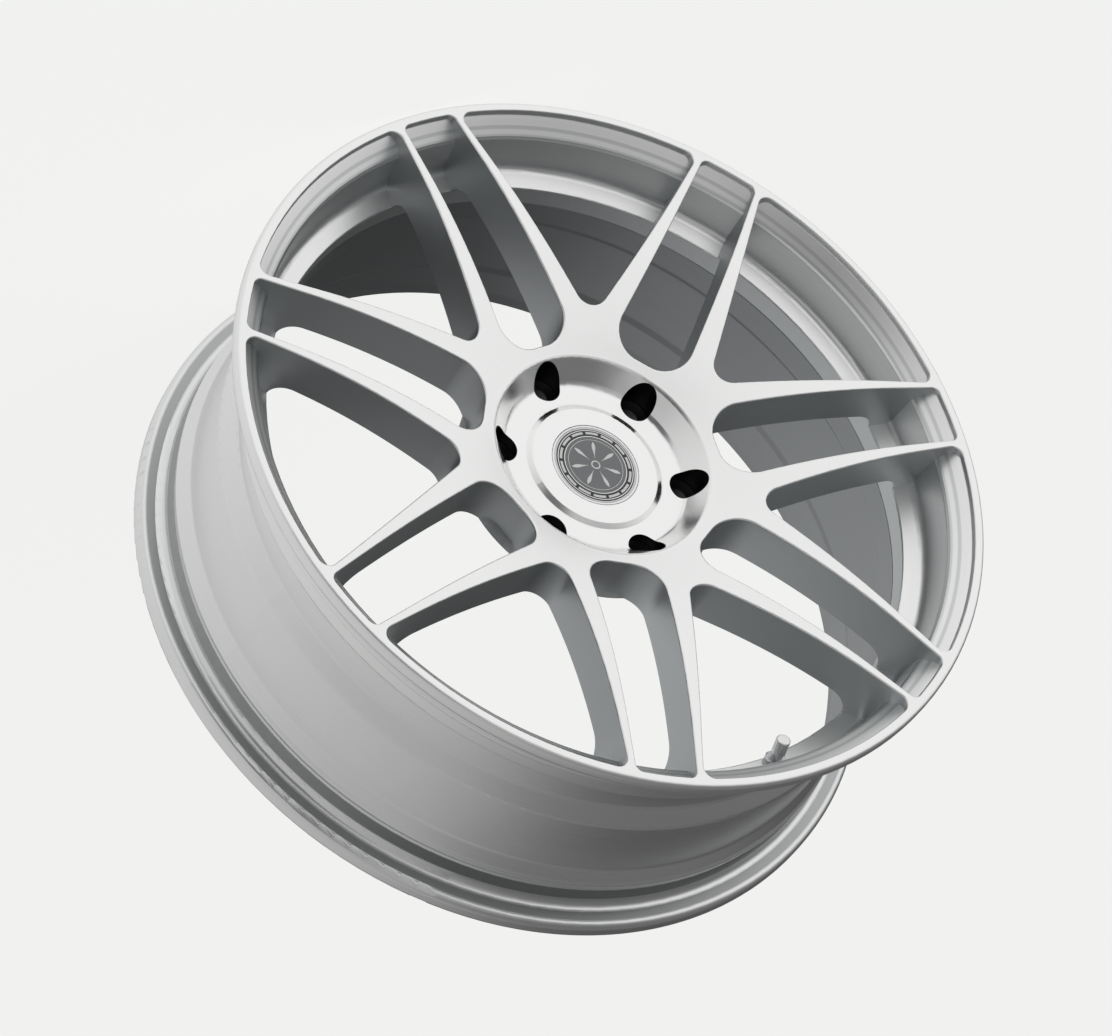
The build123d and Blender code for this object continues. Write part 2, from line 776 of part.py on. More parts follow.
wire = core_spring_wire
coil_height = flange_bottom - spring_floor - wire - 2 * seal_gap
coil_radius = (pin_flange - wire) / 2
coil_base = valve_plane.offset(spring_floor + wire / 2 + seal_gap)
with BuildPart() as valve_core_spring:
    with BuildLine():
        coil = Helix(
            pitch=coil_height / core_spring_coils,
            height=coil_height,
            radius=coil_radius,
            center=coil_base.origin,
            direction=coil_base.z_dir,
        )
    with BuildSketch(Plane(origin=coil @ 0, z_dir=coil % 0)):
        Circle(wire / 2)
    sweep(path=coil, is_frenet=True)
save(valve_core_spring.part, "valve_core_spring")

# --- Valve dust cap -----------------------------------------------------------------------------
cap_ceiling = valve_length + seal_gap + cap_seal_height + seal_gap
cap_end = cap_ceiling + valve_cap_top
cap_mouth = cap_end - valve_cap_length
with BuildPart() as valve_cap:
    with BuildSketch(valve_section):
        with BuildLine():
            Polyline(
                (valve_thread / 2 + running_gap, cap_mouth),
                (valve_cap_diameter / 2, cap_mouth),
                (valve_cap_diameter / 2, cap_end),
                (0, cap_end),
                (0, cap_ceiling),
                (valve_thread / 2 + running_gap, cap_ceiling),
                close=True,
            )
        make_face()
    revolve(axis=valve_axis)
    top_edge = valve_cap.edges().filter_by(GeomType.CIRCLE).group_by(valve_axis)[-1]
    fillet(top_edge, valve_cap_crown)
    with BuildSketch(valve_plane.offset(cap_mouth)):
        with PolarLocations(valve_cap_diameter / 2 + rib_offset, valve_cap_ribs):
            Circle(rib_groove)
    extrude(amount=valve_cap_length - valve_cap_crown - rib_stop, mode=Mode.SUBTRACT)
save(valve_cap.part, "valve_cap")

with BuildPart() as valve_cap_seal:
    with BuildSketch(valve_section):
        seal_bottom = valve_length + seal_gap
        ring(valve_bore / 2, valve_thread / 2, seal_bottom, seal_bottom + cap_seal_height)
    revolve(axis=valve_axis)
save(valve_cap_seal.part, "valve_cap_seal")
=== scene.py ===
"""Forged racing wheel rim: finishes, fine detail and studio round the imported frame.

Metres, in the wheel's own frame: the wheel turns about Y, its face looks to -Y and the valve
stands at the top, towards +Z.
"""

from __future__ import annotations

import json
import logging
import math
from dataclasses import dataclass, field
from enum import Enum
from typing import Any, Optional, Sequence

import bmesh
import bpy
from mathutils import Matrix, Vector

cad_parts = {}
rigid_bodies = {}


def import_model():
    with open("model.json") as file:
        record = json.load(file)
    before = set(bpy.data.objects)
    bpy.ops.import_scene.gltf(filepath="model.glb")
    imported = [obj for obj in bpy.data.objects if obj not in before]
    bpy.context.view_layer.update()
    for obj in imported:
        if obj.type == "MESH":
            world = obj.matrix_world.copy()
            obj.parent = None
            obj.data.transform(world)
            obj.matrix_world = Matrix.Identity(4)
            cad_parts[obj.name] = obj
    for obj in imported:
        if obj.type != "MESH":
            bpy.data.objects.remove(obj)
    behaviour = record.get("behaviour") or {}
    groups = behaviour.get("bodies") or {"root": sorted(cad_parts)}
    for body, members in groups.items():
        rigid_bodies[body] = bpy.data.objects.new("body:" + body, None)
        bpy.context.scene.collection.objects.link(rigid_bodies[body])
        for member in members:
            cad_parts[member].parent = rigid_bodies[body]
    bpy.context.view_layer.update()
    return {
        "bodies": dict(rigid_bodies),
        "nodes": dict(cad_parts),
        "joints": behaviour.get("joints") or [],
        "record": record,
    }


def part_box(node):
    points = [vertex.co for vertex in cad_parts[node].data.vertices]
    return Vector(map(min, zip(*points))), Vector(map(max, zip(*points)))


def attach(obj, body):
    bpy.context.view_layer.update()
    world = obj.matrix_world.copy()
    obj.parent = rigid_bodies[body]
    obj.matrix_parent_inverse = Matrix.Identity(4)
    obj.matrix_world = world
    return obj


log = logging.getLogger("wheel")

Socket = bpy.types.NodeSocket
Colour = tuple[float, float, float]

MM = 0.001
STEM_REFERENCE = 16 * MM  # from the rim's spot face to the dust cap's joint
SMOOTH_ANGLE = math.radians(35)  # edges under this are shaded smooth
WHEEL = "wheel"
CAP = "centre_cap"


class Slot(Enum):
    """Material slots of the record that the fine pieces belong to."""

    ALLOY = "satin_alloy"
    STEEL = "steel"
    EMBLEM = "emblem"


# --- Shader building ------------------------------------------------------------------------


class Finish:
    """A material under construction: one principled shader and the nodes that feed it."""

    def __init__(self, name: str, colour: Colour, metallic: float, roughness: float) -> None:
        """Starts a material with plain values on the shader.

        Args:
            name: The material's name.
            colour: Base colour, linear.
            metallic: 1 for bare metal, 0 for rubber and enamel.
            roughness: Roughness before any variation.
        """
        self.material = bpy.data.materials.new(name)
        self.material.use_nodes = True
        self.tree = self.material.node_tree
        self.shader = self.tree.nodes["Principled BSDF"]
        self.set("Base Color", (*colour, 1))
        self.set("Metallic", metallic)
        self.set("Roughness", roughness)

    def set(self, socket: str, value: Any) -> None:
        """Sets a plain value on the shader."""
        self.shader.inputs[socket].default_value = value

    def feed(self, socket: str, source: Socket) -> None:
        """Links a result to the shader."""
        self.tree.links.new(source, self.shader.inputs[socket])

    def node(self, kind: str, inputs: Optional[dict[Any, Any]] = None, **settings: Any) -> bpy.types.Node:
        """Adds a node.

        Args:
            kind: The node's type, without the ShaderNode prefix.
            inputs: Values or sockets for its inputs, by name or index.
            **settings: Attributes of the node itself.

        Returns:
            The new node.
        """
        made = self.tree.nodes.new("ShaderNode" + kind)
        for key, value in settings.items():
            setattr(made, key, value)
        for key, value in (inputs or {}).items():
            if isinstance(value, Socket):
                self.tree.links.new(value, made.inputs[key])
            else:
                made.inputs[key].default_value = value
        return made

    def math(self, operation: str, first: Any, second: Any = 0.0, clamp: bool = False) -> Socket:
        """One math node's result."""
        made = self.node("Math", {0: first, 1: second}, operation=operation, use_clamp=clamp)
        return made.outputs[0]

    def band(self, value: Socket, low: float, high: float, out: tuple[float, float] = (0.0, 1.0)) -> Socket:
        """A smooth step from low to high, as a value between out's two ends."""
        inputs = {"Value": value, "From Min": low, "From Max": high, "To Min": out[0], "To Max": out[1]}
        return self.node("MapRange", inputs, interpolation_type="SMOOTHSTEP").outputs[0]

    def mix(self, share: Any, first: Any, second: Any) -> Socket:
        """A colour between two, by share."""
        made = self.node("Mix", data_type="RGBA")
        for socket, value in ((made.inputs[0], share), (made.inputs[6], first), (made.inputs[7], second)):
            if isinstance(value, Socket):
                self.tree.links.new(value, socket)
            else:
                socket.default_value = value
        return made.outputs[2]

    @staticmethod
    def shade(colour: Colour, share: float) -> tuple[float, float, float, float]:
        """A colour made darker or brighter by a share, with its alpha."""
        return (*[min(c * share, 1.0) for c in colour], 1.0)

    def noise(self, vector: Socket, scale: float, detail: float = 3.0, roughness: float = 0.5) -> Socket:
        """A noise texture's value, from 0 to 1."""
        inputs = {"Vector": vector, "Scale": scale, "Detail": detail, "Roughness": roughness}
        return self.node("TexNoise", inputs).outputs[0]

    def combine(self, x: Any, y: Any, z: Any) -> Socket:
        """A vector of three values."""
        return self.node("CombineXYZ", {0: x, 1: y, 2: z}).outputs[0]

    def bump(self, height: Socket, distance: float) -> Socket:
        """A bumped normal.

        Args:
            height: The height, from 0 to 1.
            distance: What a height of 1 is, in metres.

        Returns:
            The normal.
        """
        return self.node("Bump", {"Height": height, "Distance": distance, "Strength": 1.0}).outputs[0]

    def about(self, share: Socket, colour: Colour, spread: float) -> Socket:
        """A colour that varies to both sides by a spread."""
        return self.mix(share, self.shade(colour, 1 - spread), self.shade(colour, 1 + spread))

    def uneven(self, value: Any, share: Socket, spread: float) -> Socket:
        """A value that varies by a spread in all, about its middle."""
        return self.math("ADD", value, self.math("MULTIPLY", self.math("SUBTRACT", share, 0.5), spread))


@dataclass
class WheelPlace:
    """Where a shaded point lies on the wheel, as sockets of one material."""

    finish: Finish
    point: Socket = field(init=False)
    radius: Socket = field(init=False)
    depth: Socket = field(init=False)
    turn: Socket = field(init=False)
    facing: Socket = field(init=False)
    outward: Socket = field(init=False)

    def __post_init__(self) -> None:
        """Builds the sockets from the object's own coordinates and normal."""
        f = self.finish
        place = f.node("TexCoord")
        self.point = place.outputs["Object"]
        split = f.node("SeparateXYZ", {0: self.point})
        x, self.depth, z = split.outputs
        self.radius = f.math("SQRT", f.math("ADD", f.math("MULTIPLY", x, x), f.math("MULTIPLY", z, z)))
        self.turn = f.math("ARCTAN2", x, z)
        normal = f.node("SeparateXYZ", {0: place.outputs["Normal"]})
        nx, ny, nz = normal.outputs
        self.facing = f.math("MULTIPLY", ny, -1.0)
        along = f.math("ADD", f.math("MULTIPLY", nx, x), f.math("MULTIPLY", nz, z))
        self.outward = f.math("DIVIDE", along, self.radius)

    def rings(self, pitch: float, streak: float) -> Socket:
        """Coordinates in which a noise becomes turning marks round the wheel's axis.

        Args:
            pitch: Distance between marks, in metres.
            streak: Length of a mark, in radians.

        Returns:
            A vector with marks one unit apart.
        """
        f = self.finish
        across = f.math("DIVIDE", self.radius, pitch)
        back = f.math("DIVIDE", self.depth, pitch)
        around = f.math("DIVIDE", self.turn, streak)
        return f.combine(across, back, around)


# --- Finishes -------------------------------------------------------------------------------


@dataclass(frozen=True)
class SatinAlloy:
    """Machined and clear-coated forged aluminium, bright in front; its walls get a darker colour as painted
    shade.
    """

    name: str = "satin_alloy_face"
    bright: Colour = (0.88, 0.885, 0.88)
    # Painted shade: the walls' darker colour, on the same alloy as the bright front.
    wall_shade: Colour = (0.50, 0.52, 0.53)
    face_roughness: float = 0.36
    dish_roughness: float = 0.20
    dish_edge: float = 0.005
    wall_roughness: float = 0.45
    cloud_scale: float = 14.0
    cloud_spread: float = 0.08
    cloud_roughness: float = 0.06
    grain_spread: tuple[float, float] = (0.965, 1.03)
    grain_roughness: float = 0.12
    front_facing: tuple[float, float] = (0.15, 0.6)
    outside_facing: tuple[float, float] = (0.2, 0.5)
    inside_facing: tuple[float, float] = (-0.5, -0.8)
    rim_radii: tuple[float, float] = (0.24, 0.25)
    grain_pitch: float = 0.00035
    grain_streak: float = 0.35
    grain_height: float = 0.0000025
    dish_radius: float = 0.079
    bolt_radius: float = 0.0675
    bolt_count: int = 6
    hole_radius: float = 0.0110
    # Painted shade: the near-black colour of the deep lug wells' walls.
    hole_shade_colour: Colour = (0.012, 0.012, 0.013)
    hole_edge: tuple[float, float] = (0.0003, 0.0001)
    step_radii: tuple[float, float] = (0.234, 0.236)
    # Painted shade on the inward-facing step wall, lighter than the other walls' painted shade.
    step_wall_shade: Colour = (0.66, 0.675, 0.68)
    step_spread: float = 0.1
    # Painted groove shade: dark lines on the front shelf, mixed towards the painted wall shade.
    groove_depths: tuple[float, ...] = (-0.0928, -0.0892)
    groove_width: float = 0.0011
    groove_core: float = 0.4
    groove_shade_share: float = 0.55
    groove_radii: tuple[float, float] = (0.248, 0.25)

    def make(self) -> bpy.types.Material:
        """Builds the finish of the forged centre.

        Returns:
            The material.
        """
        f = Finish(self.name, self.bright, 1.0, self.face_roughness)
        at = WheelPlace(f)
        front = f.band(at.facing, *self.front_facing)
        outside = f.band(at.outward, *self.outside_facing)
        past_lip = f.band(at.radius, *self.rim_radii)
        # Front-facing surfaces and the lip's outside keep the bright colour; the rest gets painted wall shade.
        lit = f.math("MAXIMUM", front, f.math("MULTIPLY", outside, past_lip), clamp=True)
        cloud = f.noise(at.point, self.cloud_scale, 4.0)
        grain = f.noise(at.rings(self.grain_pitch, self.grain_streak), 1.0, 2.0)
        self.colour(f, at, lit, cloud, grain)
        dish = f.band(at.radius, self.dish_radius - 0.001 + self.dish_edge, self.dish_radius - 0.001)
        on_face = f.band(dish, 0, 1, (self.face_roughness, self.dish_roughness))
        shaped = f.uneven(on_face, grain, self.grain_roughness)
        rough = f.node("Mix", {0: lit, 2: self.wall_roughness, 3: shaped}, data_type="FLOAT").outputs[0]
        f.feed("Roughness", f.uneven(rough, cloud, self.cloud_roughness))
        f.feed("Normal", f.bump(grain, self.grain_height))
        return f.material

    def colour(self, f: Finish, at: WheelPlace, lit: Socket, cloud: Socket, grain: Socket) -> None:
        """Feeds the base colour: bright front, painted shade on the walls, lighter painted shade on the step
        wall, painted groove lines and painted shade in the lug wells.

        Args:
            f: The finish.
            at: The place of the shaded point.
            lit: 1 where the surface is the bright front, 0 on the walls, which get painted shade.
            cloud: Slow noise over the whole forging.
            grain: Fine turning marks.
        """
        # Painted shade on the walls, with random tone from the cloud.
        wall_shade = f.about(cloud, self.wall_shade, self.cloud_spread)
        bright = f.mix(grain, *(f.shade(self.bright, share) for share in self.grain_spread))
        wall = f.about(grain, self.step_wall_shade, self.step_spread)
        # The inward-facing step wall gets its own, lighter painted shade.
        inward = f.band(at.outward, *self.inside_facing)
        stepped = f.math("MULTIPLY", inward, f.band(at.radius, *self.step_radii))
        whole = f.mix(lit, f.mix(stepped, wall_shade, wall), bright)
        # Painted shade of a fine tool groove, drawn as dark lines on the front shelf.
        with_groove_shade = f.mix(f.math("MULTIPLY", self.painted_groove_shade(f, at), self.groove_shade_share), whole, wall_shade)
        # Painted shade darkens the lug wells to near black.
        f.feed("Base Color", f.mix(self.painted_hole_shade(f, at), with_groove_shade, f.shade(self.hole_shade_colour, 1.0)))

    def painted_groove_shade(self, f: Finish, at: WheelPlace) -> Socket:
        """Where the front shelf gets dark painted lines that stand in for the shade of a fine tool groove; no
        groove is cut.

        Args:
            f: The finish.
            at: The place of the shaded point.

        Returns:
            1 in a groove, 0 outside.
        """
        found: Any = 0.0
        for depth in self.groove_depths:
            away = f.math("ABSOLUTE", f.math("SUBTRACT", at.depth, depth))
            groove = f.band(away, self.groove_width, self.groove_width * self.groove_core)
            found = f.math("MAXIMUM", found, groove)
        return f.math("MULTIPLY", found, f.band(at.radius, *self.groove_radii))

    def painted_hole_shade(self, f: Finish, at: WheelPlace) -> Socket:
        """Where the lug wells get painted shade: a near-black colour for the shade deep in the holes.

        Args:
            f: The finish.
            at: The place of the shaded point.

        Returns:
            1 inside a well, 0 outside.
        """
        pitch = 2 * math.pi / self.bolt_count
        off = f.math("PINGPONG", at.turn, pitch / 2)
        along = f.math("SUBTRACT", f.math("MULTIPLY", at.radius, f.math("COSINE", off)), self.bolt_radius)
        across = f.math("MULTIPLY", at.radius, f.math("SINE", off))
        squares = f.math("ADD", f.math("MULTIPLY", along, along), f.math("MULTIPLY", across, across))
        outer, inner = (self.hole_radius + edge for edge in self.hole_edge)
        return f.band(f.math("SQRT", squares), outer, inner)


@dataclass(frozen=True)
class TurnedAlloy:
    """Lathe-turned aluminium of the barrel: bright outside; the darker grey inside is painted shade."""

    name: str = "satin_alloy_barrel"
    outside: Colour = (0.78, 0.785, 0.785)
    # Painted shade: the barrel's inside gets a darker grey than the same alloy outside.
    inside: Colour = (0.31, 0.322, 0.33)
    outside_roughness: float = 0.30
    inside_roughness: float = 0.45
    outside_facing: tuple[float, float] = (-0.2, 0.3)
    cloud_scale: float = 9.0
    cloud_spread: float = 0.07
    mark_spread: tuple[float, float] = (0.95, 1.04)
    mark_roughness: float = 0.14
    mark_pitch: float = 0.0006
    mark_streak: float = 1.4
    mark_height: float = 0.000004

    def make(self) -> bpy.types.Material:
        """Builds the finish of the barrel.

        Returns:
            The material.
        """
        f = Finish(self.name, self.outside, 1.0, self.outside_roughness)
        at = WheelPlace(f)
        out = f.band(at.outward, *self.outside_facing)
        cloud = f.noise(at.point, self.cloud_scale, 4.0)
        marks = f.noise(at.rings(self.mark_pitch, self.mark_streak), 1.0, 3.0)
        # Painted shade on the barrel's inside, with random tone from the cloud.
        inner = f.about(cloud, self.inside, self.cloud_spread)
        outer = f.mix(marks, *(f.shade(self.outside, share) for share in self.mark_spread))
        f.feed("Base Color", f.mix(out, inner, outer))
        rough = f.band(out, 0, 1, (self.inside_roughness, self.outside_roughness))
        f.feed("Roughness", f.uneven(rough, marks, self.mark_roughness))
        f.feed("Normal", f.bump(marks, self.mark_height))
        return f.material


@dataclass(frozen=True)
class Plain:
    """A one-colour finish with fine grain: steel, brass, rubber, plastic and enamel."""

    name: str
    colour: Colour
    metallic: float
    roughness: float
    grain_scale: float = 900.0
    grain_height: float = 0.00002
    spread: float = 0.08
    uneven: float = 0.15

    def make(self) -> bpy.types.Material:
        """Builds the finish.

        Returns:
            The material.
        """
        f = Finish(self.name, self.colour, self.metallic, self.roughness)
        point = f.node("TexCoord").outputs["Object"]
        grain = f.noise(point, self.grain_scale, 4.0)
        patches = f.noise(point, self.grain_scale / 6)
        f.feed("Base Color", f.about(patches, self.colour, self.spread))
        f.feed("Roughness", f.uneven(self.roughness, grain, self.uneven))
        f.feed("Normal", f.bump(grain, self.grain_height))
        return f.material


@dataclass(frozen=True)
class BrushedDisc:
    """Grey metal foil with straight brush strokes, under clear resin."""

    name: str = "brushed_disc"
    colour: Colour = (0.16, 0.165, 0.17)
    roughness: float = 0.38
    stroke_across: float = 9000.0
    stroke_along: float = 140.0
    stroke_spread: tuple[float, float] = (0.72, 1.3)
    stroke_height: float = 0.00001

    def make(self) -> bpy.types.Material:
        """Builds the finish.

        Returns:
            The material.
        """
        f = Finish(self.name, self.colour, 0.85, self.roughness)
        f.set("Coat Weight", 0.4)
        f.set("Coat Roughness", 0.08)
        point = f.node("TexCoord").outputs["Object"]
        x, y, z = f.node("SeparateXYZ", {0: point}).outputs
        along = f.math("MULTIPLY", x, self.stroke_along)
        strokes = f.combine(along, y, f.math("MULTIPLY", z, self.stroke_across))
        brush = f.noise(strokes, 1.0, 4.0, 0.6)
        f.feed("Base Color", f.mix(brush, *(f.shade(self.colour, share) for share in self.stroke_spread)))
        f.feed("Normal", f.bump(brush, self.stroke_height))
        return f.material


# --- Mesh building ------------------------------------------------------------------------------

Profile = Sequence[tuple[float, float]]


def place(
    mesh_name: str,
    shape: bmesh.types.BMesh,
    material: bpy.types.Material,
    body: str,
    slot: Slot,
    smooth: bool = True,
) -> bpy.types.Object:
    """Turns a finished bmesh into a piece that rides on a body.

    Args:
        mesh_name: The piece's name.
        shape: The bmesh, in the wheel's frame; it is freed.
        material: The piece's finish.
        body: The CAD body it rides on.
        slot: The record's material slot; not used.
        smooth: Whether edges under the smooth angle are shaded smooth.

    Returns:
        The new piece.
    """
    bmesh.ops.recalc_face_normals(shape, faces=shape.faces)
    mesh = bpy.data.meshes.new(mesh_name)
    shape.to_mesh(mesh)
    shape.free()
    mesh.materials.append(material)
    if smooth:
        mesh.shade_smooth()
        mesh.set_sharp_from_angle(angle=SMOOTH_ANGLE)
    piece = bpy.data.objects.new(mesh_name, mesh)
    bpy.context.scene.collection.objects.link(piece)
    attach(piece, body)
    log.info("made %s with %d faces", mesh_name, len(mesh.polygons))
    return piece


def axis_frame(origin: Vector, axis: Vector) -> Matrix:
    """A frame whose Z runs along an axis.

    Args:
        origin: Its origin.
        axis: The direction of its Z.

    Returns:
        The frame as a matrix.
    """
    return Matrix.Translation(origin) @ axis.to_track_quat("Z", "Y").to_matrix().to_4x4()


def arc_band(
    shape: bmesh.types.BMesh,
    frame: Matrix,
    profile: Profile,
    start: float,
    end: float,
    steps: int,
) -> None:
    """Sweeps a closed profile round a frame's Z axis.

    Args:
        shape: The bmesh to add to.
        frame: The frame.
        profile: Points of radius and height, in order round the section.
        start: First angle, in radians.
        end: Last angle; a full turn closes on itself.
        steps: Number of steps between them.
    """
    full = abs(end - start - 2 * math.pi) < 1e-6
    rows = []
    for k in range(steps if full else steps + 1):
        angle = start + (end - start) * k / steps
        c, s = math.cos(angle), math.sin(angle)
        rows.append([shape.verts.new(frame @ Vector((r * c, r * s, h))) for r, h in profile])
    count = len(profile)
    pairs = list(zip(rows, rows[1:] + rows[:1])) if full else list(zip(rows, rows[1:]))
    for here, there in pairs:
        for j in range(count):
            k = (j + 1) % count
            shape.faces.new((here[j], here[k], there[k], there[j]))
    if not full:
        shape.faces.new(rows[0])
        shape.faces.new(rows[-1])


def prism(shape: bmesh.types.BMesh, frame: Matrix, outline: Profile, bottom: float, top: float) -> None:
    """A flat plate with a bevelled top edge.

    Args:
        shape: The bmesh to add to.
        frame: The frame whose Z is the plate's normal.
        outline: Points round the plate.
        bottom: Height of its underside.
        top: Height of its top.
    """
    bevel = (top - bottom) * 0.35
    middle = Vector((sum(x for x, _ in outline), sum(y for _, y in outline))) / len(outline)
    reach = max((Vector(p) - middle).length for p in outline)
    inset = 1 - bevel / reach
    rings = []
    for height, share in ((bottom, 1.0), (top - bevel, 1.0), (top, inset)):
        points = [middle + (Vector(p) - middle) * share for p in outline]
        rings.append([shape.verts.new(frame @ Vector((p.x, p.y, height))) for p in points])
    count = len(outline)
    for low, high in zip(rings, rings[1:]):
        for j in range(count):
            k = (j + 1) % count
            shape.faces.new((low[j], low[k], high[k], high[j]))
    shape.faces.new(rings[0])
    shape.faces.new(rings[-1])


# --- Fine pieces --------------------------------------------------------------------------------


@dataclass
class CapEmblem:
    """The disc in the cap: a rosette on brushed foil inside a broken white ring."""

    ring_radii: tuple[float, float] = (27.4 * MM, 28.0 * MM)
    dash_radii: tuple[float, float] = (24.7 * MM, 26.5 * MM)
    dash_count: int = 14
    dash_gap: float = 0.09
    rim_radii: tuple[float, float] = (22.6 * MM, 23.2 * MM)
    disc_radius: float = 22.6 * MM
    disc_rise: float = 0.10 * MM
    relief: float = 0.14 * MM
    petal_count: int = 7
    petal_reach: tuple[float, float] = (5.6 * MM, 18.6 * MM)
    petal_width: float = 3.1 * MM
    hub_radii: tuple[float, float] = (2.4 * MM, 3.4 * MM)
    halo_radii: tuple[float, float] = (19.9 * MM, 20.3 * MM)

    def build(self, white: bpy.types.Material, bright: bpy.types.Material, disc: bpy.types.Material) -> None:
        """Builds the emblem's pieces on the face of its disc.

        Args:
            white: Finish of the printed marks.
            bright: Finish of the thin metal rings.
            disc: Finish of the foil.
        """
        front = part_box("cap_emblem")[0].y
        frame = axis_frame(Vector((0, front, 0)), Vector((0, -1, 0)))
        self.rings(frame, bright)
        self.dashes(frame, white)
        self.foil(frame, disc)
        self.rosette(frame, white)

    def band(self, shape: bmesh.types.BMesh, frame: Matrix, radii: tuple[float, float], base: float) -> None:
        """A full raised ring with bevelled edges."""
        inner, outer = radii
        top = base + self.relief
        bevel = min(self.relief, outer - inner) * 0.3
        section = [
            (inner, base),
            (inner, top - bevel),
            (inner + bevel, top),
            (outer - bevel, top),
            (outer, top - bevel),
            (outer, base),
        ]
        arc_band(shape, frame, section, 0, 2 * math.pi, 160)

    def rings(self, frame: Matrix, material: bpy.types.Material) -> None:
        """The bright ring at the edge and the one round the foil."""
        shape = bmesh.new()
        self.band(shape, frame, self.ring_radii, 0)
        self.band(shape, frame, self.rim_radii, 0)
        place("emblem_rings", shape, material, CAP, Slot.EMBLEM)

    def dashes(self, frame: Matrix, material: bpy.types.Material) -> None:
        """The broken white ring."""
        shape = bmesh.new()
        inner, outer = self.dash_radii
        section = [(inner, 0), (inner, self.relief), (outer, self.relief), (outer, 0)]
        pitch = 2 * math.pi / self.dash_count
        for k in range(self.dash_count):
            start, end = k * pitch + self.dash_gap / 2, (k + 1) * pitch - self.dash_gap / 2
            arc_band(shape, frame, section, start, end, 12)
        place("emblem_dashes", shape, material, CAP, Slot.EMBLEM)

    def foil(self, frame: Matrix, material: bpy.types.Material) -> None:
        """The slightly domed foil disc."""
        shape = bmesh.new()
        rows = 6
        section = [(self.disc_radius, 0)]
        for k in range(rows + 1):
            radius = self.disc_radius * (1 - k / rows)
            share = 1 - (radius / self.disc_radius) ** 2
            section.append((max(radius, 0.02 * MM), self.disc_rise * (0.3 + 0.7 * share)))
        section.append((0.02 * MM, 0))
        arc_band(shape, frame, section, 0, 2 * math.pi, 96)
        bmesh.ops.holes_fill(shape, edges=shape.edges)
        place("emblem_foil", shape, material, CAP, Slot.EMBLEM)

    def rosette(self, frame: Matrix, material: bpy.types.Material) -> None:
        """Seven leaf-shaped petals round a small ring, and a thin halo."""
        shape = bmesh.new()
        low, high = self.petal_reach
        steps = 10
        for k in range(self.petal_count):
            turn = math.radians(90) + k * 2 * math.pi / self.petal_count
            c, s = math.cos(turn), math.sin(turn)
            side = []
            for j in range(steps + 1):
                t = j / steps
                half = self.petal_width / 2 * math.sin(math.pi * t**1.6) * (0.35 + 0.65 * t) + 0.12 * MM
                side.append((low + (high - low) * t, half))
            points = side + [(x, -h) for x, h in reversed(side)]
            outline = [(x * c - y * s, x * s + y * c) for x, y in points]
            prism(shape, frame, outline, self.disc_rise * 0.3, self.disc_rise + self.relief)
        self.band(shape, frame, self.hub_radii, self.disc_rise)
        self.band(shape, frame, self.halo_radii, self.disc_rise * 0.3)
        place("emblem_rosette", shape, material, CAP, Slot.EMBLEM)


@dataclass
class BeadKnurl:
    """The fine diamond knurl on the rear bead seat that keeps the tyre from slipping."""

    start: float = 6.4 * MM
    width: float = 11.0 * MM
    rows: int = 9
    points: int = 620
    height: float = 0.32 * MM
    valley: float = 0.01 * MM
    edge_depth: float = 0.25 * MM
    seat_angle: float = math.radians(5)
    flange_height: float = 17.5 * MM
    flange_width: float = 14.8 * MM

    def build(self, material: bpy.types.Material) -> None:
        """Builds the knurled band on the seat's cone.

        Args:
            material: Its finish.
        """
        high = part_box("rim_barrel")[1]
        flange = high.y - self.flange_width
        seat = high.z - self.flange_height
        steps = 2 * self.rows
        shape = bmesh.new()
        grid = []
        for j in range(steps + 1):
            back = self.start + self.width * j / steps
            base = seat - back * math.tan(self.seat_angle)
            edge = j in (0, steps)
            ring = []
            for k in range(2 * self.points):
                peak = (j + k) % 2 == 0
                rise = -self.edge_depth if edge else (self.height if peak else self.valley)
                angle = math.pi * k / self.points
                radius = base + rise
                x, z = radius * math.sin(angle), radius * math.cos(angle)
                ring.append(shape.verts.new((x, flange - back, z)))
            grid.append(ring)
        for here, there in zip(grid, grid[1:]):
            for k in range(2 * self.points):
                n = (k + 1) % (2 * self.points)
                shape.faces.new((here[k], here[n], there[n], there[k]))
        place("bead_knurl", shape, material, WHEEL, Slot.ALLOY, smooth=False)


@dataclass
class StemThread:
    """The fine thread on the end of the valve stem, under the dust cap."""

    pitch: float = 0.794 * MM
    radius: float = 3.85 * MM
    depth: float = 0.12 * MM
    crest: float = 0.03 * MM
    start: float = 10.8 * MM
    length: float = 9.9 * MM
    steps: int = 40

    def build(self, foot: Vector, axis: Vector, material: bpy.types.Material) -> None:
        """Builds the thread as one helical ridge.

        Args:
            foot: Where the stem leaves the rim.
            axis: The stem's direction.
            material: Its finish.
        """
        frame = axis_frame(foot, axis)
        shape = bmesh.new()
        turns = self.length / self.pitch
        count = int(turns * self.steps)
        half = self.pitch * 0.42
        rows = []
        for k in range(count + 1):
            angle = 2 * math.pi * k / self.steps
            height = self.start + self.pitch * k / self.steps
            c, s = math.cos(angle), math.sin(angle)
            fade = min(1.0, k / self.steps, (count - k) / self.steps)
            root = self.radius - self.depth
            crest = root + (self.depth + self.crest) * fade
            section = ((root, height - half), (crest, height), (root, height + half))
            rows.append([shape.verts.new(frame @ Vector((r * c, r * s, h))) for r, h in section])
        for here, there in zip(rows, rows[1:]):
            for j in range(3):
                n = (j + 1) % 3
                shape.faces.new((here[j], here[n], there[n], there[j]))
        shape.faces.new(rows[0])
        shape.faces.new(rows[-1])
        place("stem_thread", shape, material, WHEEL, Slot.STEEL)


# --- Dressing the carried-over nodes ----------------------------------------------------------


def dress(node: bpy.types.Object, material: bpy.types.Material) -> None:
    """Puts one material on every slot of an object.

    Args:
        node: The object.
        material: Its new material.
    """
    if not node.material_slots:
        node.data.materials.append(material)
    for slot in node.material_slots:
        slot.material = material
    log.info("dressed %s in %s", node.name, material.name)


